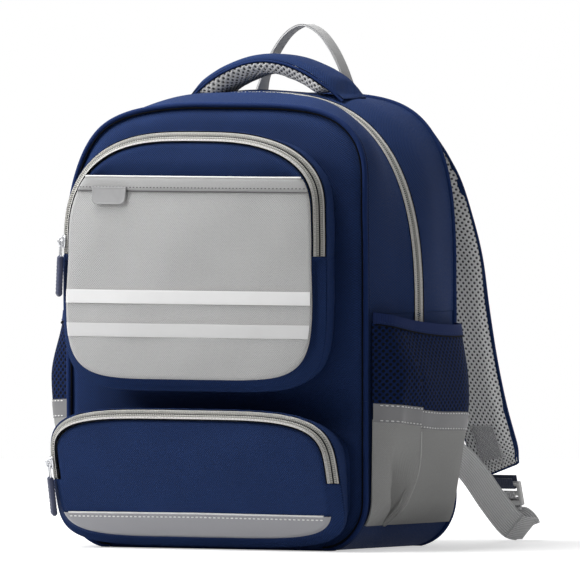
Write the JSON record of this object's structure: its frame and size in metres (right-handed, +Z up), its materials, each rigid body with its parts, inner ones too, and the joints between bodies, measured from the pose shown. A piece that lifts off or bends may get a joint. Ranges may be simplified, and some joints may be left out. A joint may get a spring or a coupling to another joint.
{
  "type": "school backpack",
  "caption": "Boxy school backpack with zipped front pockets, mesh side pockets, padded top handle, hang loop and padded shoulder straps.",
  "frame": {"origin": "middle of the base on the floor, halfway between the front and back seams", "axes": "+X right seen from the front, +Y to the back, +Z up"},
  "size_m": [0.3626, 0.3991, 0.455],
  "materials": {
    "navy_cloth": "woven",
    "navy_mesh": "knitted mesh",
    "grey_mesh": "knitted mesh",
    "grey_cloth": "woven",
    "side_grey": "woven",
    "reflective": "reflective",
    "white_trim": "reflective",
    "zip_tape": "woven",
    "webbing": "ribbed",
    "dark_webbing": "ribbed",
    "piping": "woven",
    "slider_metal": "polished",
    "grip_rubber": "matte",
    "lock_plastic": "matte",
    "board": "matte"
  },
  "bodies": {
    "bag": {"back_panel": "navy_cloth", "back_board": "board", "back_pads": "grey_mesh", "rear_gusset": "navy_cloth", "side_wall_left": "navy_cloth", "side_wall_right": "navy_cloth", "base_panel": "navy_cloth", "base_board": "board", "front_panel_lower": "navy_cloth", "front_piping_lower": "piping", "back_piping": "piping", "main_zip_rear": "zip_tape", "lower_pocket_gusset": "navy_cloth", "lower_pocket_face": "navy_cloth", "lower_pocket_strip": "reflective", "lower_zip_outer": "zip_tape", "side_mesh_left": "navy_mesh", "side_mesh_right": "navy_mesh", "side_bands": "navy_cloth", "side_strips": "reflective", "side_lowers": "side_grey", "handle_cover": "navy_cloth", "handle_mesh": "grey_mesh", "hang_loop": "webbing", "anchors": "navy_cloth", "webbing_left": "webbing", "webbing_right": "webbing"},
    "main_flap": {"front_panel_upper": "navy_cloth", "front_gusset": "navy_cloth", "front_piping_upper": "piping", "main_zip_front": "zip_tape", "upper_pocket_gusset": "navy_cloth", "upper_pocket_face": "navy_cloth", "slip_panel_lower": "grey_cloth", "reflective_stripes": "white_trim", "upper_zip_outer": "zip_tape"},
    "upper_flap": {"upper_pocket_flap": "navy_cloth", "slip_panel_upper": "grey_cloth", "slip_binding": "grey_cloth", "label_tab": "grey_cloth", "upper_zip_inner": "zip_tape"},
    "lower_flap": {"lower_pocket_flap": "navy_cloth", "lower_zip_inner": "zip_tape"},
    "main_slider": {"main_slider": "slider_metal"},
    "main_pull": {"main_link": "slider_metal", "main_grip": "grip_rubber"},
    "upper_slider": {"upper_slider": "slider_metal"},
    "upper_pull": {"upper_link": "slider_metal", "upper_grip": "grip_rubber"},
    "lower_slider": {"lower_slider": "slider_metal"},
    "lower_pull": {"lower_link": "slider_metal", "lower_grip": "grip_rubber"},
    "strap_left": {"strap_cover_left": "navy_cloth", "strap_mesh_left": "grey_mesh", "keeper_left": "dark_webbing"},
    "lock_left": {"ladder_lock_left": "lock_plastic"},
    "strap_right": {"strap_cover_right": "navy_cloth", "strap_mesh_right": "grey_mesh", "keeper_right": "dark_webbing"},
    "lock_right": {"ladder_lock_right": "lock_plastic"}
  },
  "joints": [
    {"name": "main_open", "type": "hinge", "parent": "bag", "child": "main_flap", "pos_m": [0, -0.1323, 0.1305], "axis": [1, 0, 0], "range_deg": [0, 40]},
    {"name": "upper_pocket_open", "type": "hinge", "parent": "main_flap", "child": "upper_flap", "pos_m": [0, -0.1318, 0.25552], "axis": [1, 0, 0], "range_deg": [0, 75]},
    {"name": "lower_pocket_open", "type": "hinge", "parent": "bag", "child": "lower_flap", "pos_m": [0, -0.1255, 0.0594], "axis": [1, 0, 0], "range_deg": [0, 70]},
    {"name": "main_zip_run", "type": "slide", "parent": "bag", "child": "main_slider", "axis": [0.0976, 0, 0.9952], "range_m": [0, 0.024]},
    {"name": "main_pull_swing", "type": "hinge", "parent": "main_slider", "child": "main_pull", "pos_m": [-0.16412, -0.0045, 0.24576], "axis": [0, 1, 0], "range_deg": [0, 110]},
    {"name": "upper_zip_run", "type": "slide", "parent": "main_flap", "child": "upper_slider", "axis": [0.0454, 0, 0.999], "range_m": [0, 0.014]},
    {"name": "upper_pull_swing", "type": "hinge", "parent": "upper_slider", "child": "upper_pull", "pos_m": [-0.13044, -0.12248, 0.26797], "axis": [-0.7252, 0.6877, 0.0329], "range_deg": [0, 110]},
    {"name": "lower_zip_run", "type": "slide", "parent": "bag", "child": "lower_slider", "axis": [0.0419, -0.2694, 0.9621], "range_m": [0, 0.009]},
    {"name": "lower_pull_swing", "type": "hinge", "parent": "lower_slider", "child": "lower_pull", "pos_m": [-0.14246, -0.12344, 0.07484], "axis": [-0.7253, 0.6541, 0.2147], "range_deg": [0, 110]},
    {"name": "strap_swing_left", "type": "hinge", "parent": "bag", "child": "strap_left", "pos_m": [-0.062, 0.08881, 0.38464], "axis": [1, 0, 0], "range_deg": [0, 25], "deforming": ["webbing_left"]},
    {"name": "lock_tilt_left", "type": "hinge", "parent": "strap_left", "child": "lock_left", "pos_m": [-0.111, 0.23113, 0.0504], "axis": [1, 0, 0], "range_deg": [-15, 15], "deforming": ["webbing_left"]},
    {"name": "strap_swing_right", "type": "hinge", "parent": "bag", "child": "strap_right", "pos_m": [0.062, 0.08881, 0.38464], "axis": [1, 0, 0], "range_deg": [0, 25], "deforming": ["webbing_right"]},
    {"name": "lock_tilt_right", "type": "hinge", "parent": "strap_right", "child": "lock_right", "pos_m": [0.111, 0.23113, 0.0504], "axis": [1, 0, 0], "range_deg": [-15, 15], "deforming": ["webbing_right"]}
  ]
}
